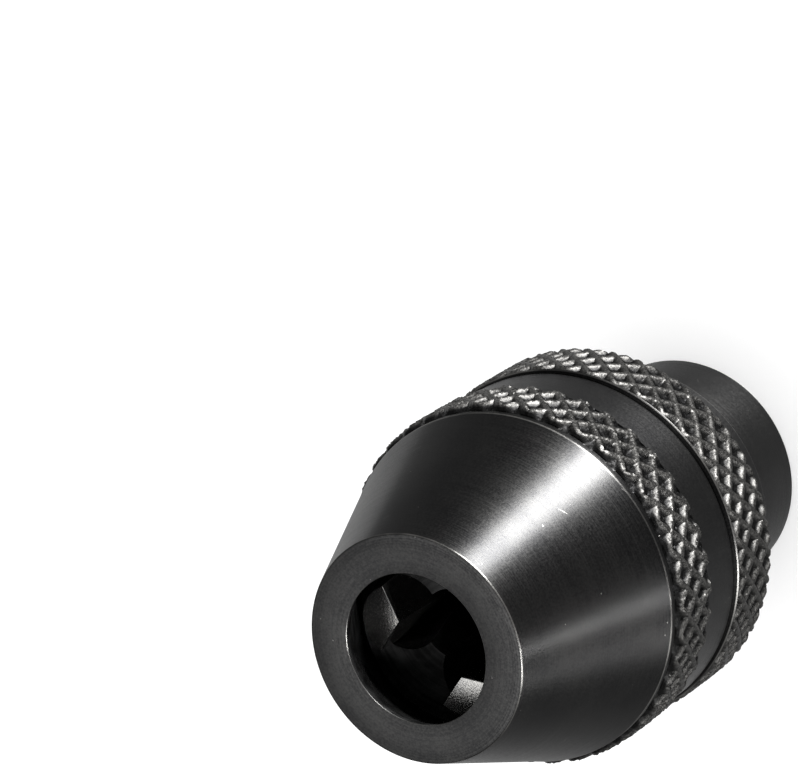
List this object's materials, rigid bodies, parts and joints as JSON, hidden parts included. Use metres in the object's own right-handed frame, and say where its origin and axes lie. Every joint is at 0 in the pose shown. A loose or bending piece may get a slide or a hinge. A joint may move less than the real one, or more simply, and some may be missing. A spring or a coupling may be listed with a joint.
{
  "type": "drill chuck",
  "caption": "Small keyless self-centring drill chuck: knurled rear ring, knurled sleeve tapering to an open nose, inclined threaded jaws, split nut and ball thrust bearing inside.",
  "frame": {"origin": "centre of the flat rear face of the body collar, where the threaded spindle bore opens", "axes": "+Z along the chuck axis towards the nose; the two parallel wrench flats face +X and -X; jaw_1 lies on the +Y side"},
  "size_m": [0.02, 0.02, 0.0306],
  "materials": {
    "chuck_body": "black oxide, turned",
    "rear_grip_ring": "black oxide, knurled",
    "front_sleeve": "black oxide, turned and knurled",
    "nut_half_a": "oiled bare steel",
    "nut_half_b": "oiled bare steel",
    "jaw_1": "ground bare steel",
    "jaw_2": "ground bare steel",
    "jaw_3": "ground bare steel",
    "rear_race_washer": "ground hardened steel",
    "front_race_washer": "ground hardened steel",
    "ball_cage": "pressed brass",
    "bearing_ball_01": "polished bearing ball",
    "bearing_ball_02": "polished bearing ball",
    "bearing_ball_03": "polished bearing ball",
    "bearing_ball_04": "polished bearing ball",
    "bearing_ball_05": "polished bearing ball",
    "bearing_ball_06": "polished bearing ball",
    "bearing_ball_07": "polished bearing ball",
    "bearing_ball_08": "polished bearing ball",
    "bearing_ball_09": "polished bearing ball",
    "bearing_ball_10": "polished bearing ball",
    "bearing_ball_11": "polished bearing ball",
    "bearing_ball_12": "polished bearing ball"
  },
  "bodies": {
    "body": {"chuck_body": "chuck_body", "rear_grip_ring": "rear_grip_ring", "rear_race_washer": "rear_race_washer"},
    "sleeve": {"front_sleeve": "front_sleeve", "nut_half_a": "nut_half_a", "nut_half_b": "nut_half_b", "front_race_washer": "front_race_washer"},
    "cage": {"ball_cage": "ball_cage", "bearing_ball_01": "bearing_ball_01", "bearing_ball_02": "bearing_ball_02", "bearing_ball_03": "bearing_ball_03", "bearing_ball_04": "bearing_ball_04", "bearing_ball_05": "bearing_ball_05", "bearing_ball_06": "bearing_ball_06", "bearing_ball_07": "bearing_ball_07", "bearing_ball_08": "bearing_ball_08", "bearing_ball_09": "bearing_ball_09", "bearing_ball_10": "bearing_ball_10", "bearing_ball_11": "bearing_ball_11", "bearing_ball_12": "bearing_ball_12"},
    "jaw_1": {"jaw_1": "jaw_1"},
    "jaw_2": {"jaw_2": "jaw_2"},
    "jaw_3": {"jaw_3": "jaw_3"}
  },
  "joints": [
    {"name": "sleeve_spin", "type": "hinge", "parent": "body", "child": "sleeve", "pos_m": [0, 0, 0.02], "axis": [0, 0, -1], "range_deg": [0, 2073.6]},
    {"name": "cage_spin", "type": "hinge", "parent": "body", "child": "cage", "pos_m": [0, 0, 0.01672], "axis": [0, 0, -1], "range_deg": [0, 1036.9]},
    {"name": "jaw_1_slide", "type": "slide", "parent": "body", "child": "jaw_1", "axis": [0, -0.2588, 0.9659], "range_m": [0, 0.00747]},
    {"name": "jaw_2_slide", "type": "slide", "parent": "body", "child": "jaw_2", "axis": [0.2241, 0.1294, 0.9659], "range_m": [0, 0.00747]},
    {"name": "jaw_3_slide", "type": "slide", "parent": "body", "child": "jaw_3", "axis": [-0.2241, 0.1294, 0.9659], "range_m": [0, 0.00747]}
  ],
  "couplings": [
    {"joint": "cage_spin", "follows": "sleeve_spin", "ratio": 0.5},
    {"joint": "jaw_1_slide", "follows": "sleeve_spin", "m_per_rad": 0.00020596},
    {"joint": "jaw_2_slide", "follows": "sleeve_spin", "m_per_rad": 0.00020596},
    {"joint": "jaw_3_slide", "follows": "sleeve_spin", "m_per_rad": 0.00020596}
  ]
}
